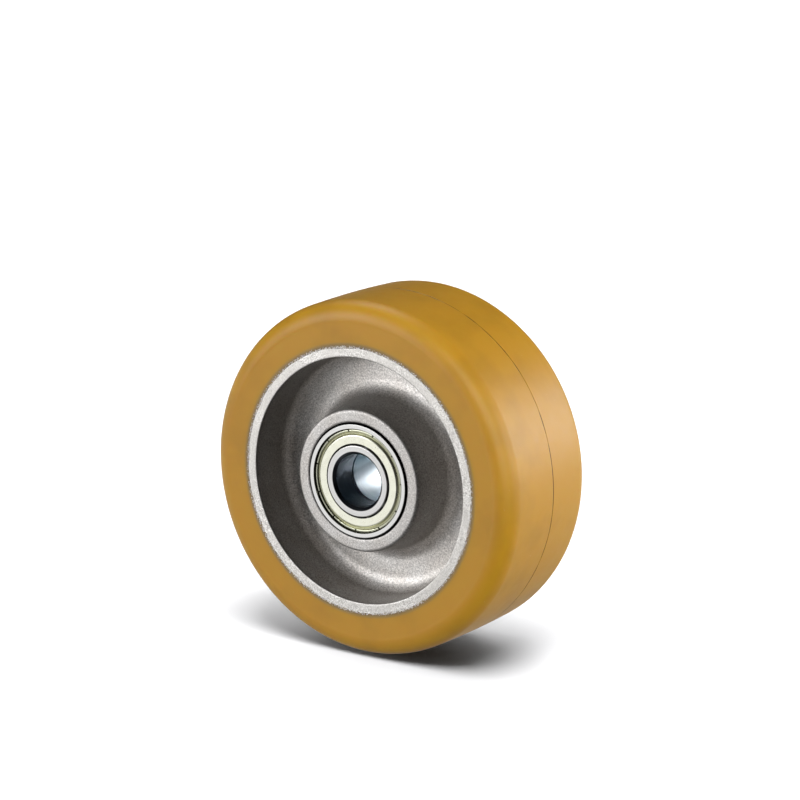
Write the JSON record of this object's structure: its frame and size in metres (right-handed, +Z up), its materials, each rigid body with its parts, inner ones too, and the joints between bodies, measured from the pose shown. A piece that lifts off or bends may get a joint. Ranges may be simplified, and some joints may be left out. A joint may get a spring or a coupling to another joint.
{
  "type": "trolley wheel",
  "caption": "Trolley wheel: amber polyurethane tyre on a dished cast aluminium centre, turning on two shielded ball bearings with a spacer tube.",
  "frame": {"origin": "the wheel's centre, on the axle's line at mid-width", "axes": "+Y along the axle, away from the face that the picture shows; +Z up; the wheel spins about +Y"},
  "size_m": [0.1, 0.04, 0.1],
  "materials": {
    "polyurethane": "satin, slightly translucent amber polyurethane",
    "cast_aluminium": "die-cast skin, rim faces turned bright",
    "outer_ring_steel": "ground and polished",
    "inner_ring_steel": "ground, satin",
    "shield_steel": "yellow-passivated pressed sheet",
    "cage_steel": "pressed sheet",
    "ball_steel": "lapped",
    "spacer_steel": "drawn tube, bright zinc"
  },
  "bodies": {
    "sleeve": {"spacer_tube": "spacer_steel", "front_inner_ring": "inner_ring_steel", "rear_inner_ring": "inner_ring_steel"},
    "wheel": {"tyre": "polyurethane", "wheel_centre": "cast_aluminium", "front_outer_ring": "outer_ring_steel", "front_face_shield": "shield_steel", "front_hub_shield": "shield_steel", "rear_outer_ring": "outer_ring_steel", "rear_face_shield": "shield_steel", "rear_hub_shield": "shield_steel"},
    "front_cage": {"front_cage_face_half": "cage_steel", "front_cage_hub_half": "cage_steel", "front_cage_rivets": "cage_steel", "front_ball_1": "ball_steel", "front_ball_2": "ball_steel", "front_ball_3": "ball_steel", "front_ball_4": "ball_steel", "front_ball_5": "ball_steel", "front_ball_6": "ball_steel", "front_ball_7": "ball_steel", "front_ball_8": "ball_steel", "front_ball_9": "ball_steel"},
    "rear_cage": {"rear_cage_face_half": "cage_steel", "rear_cage_hub_half": "cage_steel", "rear_cage_rivets": "cage_steel", "rear_ball_1": "ball_steel", "rear_ball_2": "ball_steel", "rear_ball_3": "ball_steel", "rear_ball_4": "ball_steel", "rear_ball_5": "ball_steel", "rear_ball_6": "ball_steel", "rear_ball_7": "ball_steel", "rear_ball_8": "ball_steel", "rear_ball_9": "ball_steel"}
  },
  "joints": [
    {"name": "wheel_spin", "type": "hinge", "parent": "sleeve", "child": "wheel", "pos_m": [0, 0, 0], "axis": [0, 1, 0], "continuous": true},
    {"name": "front_cage_spin", "type": "hinge", "parent": "sleeve", "child": "front_cage", "pos_m": [0, -0.0155, 0], "axis": [0, 1, 0], "continuous": true},
    {"name": "rear_cage_spin", "type": "hinge", "parent": "sleeve", "child": "rear_cage", "pos_m": [0, 0.0155, 0], "axis": [0, 1, 0], "continuous": true}
  ],
  "couplings": [
    {"joint": "front_cage_spin", "follows": "wheel_spin", "ratio": 0.6013},
    {"joint": "rear_cage_spin", "follows": "wheel_spin", "ratio": 0.6013}
  ]
}
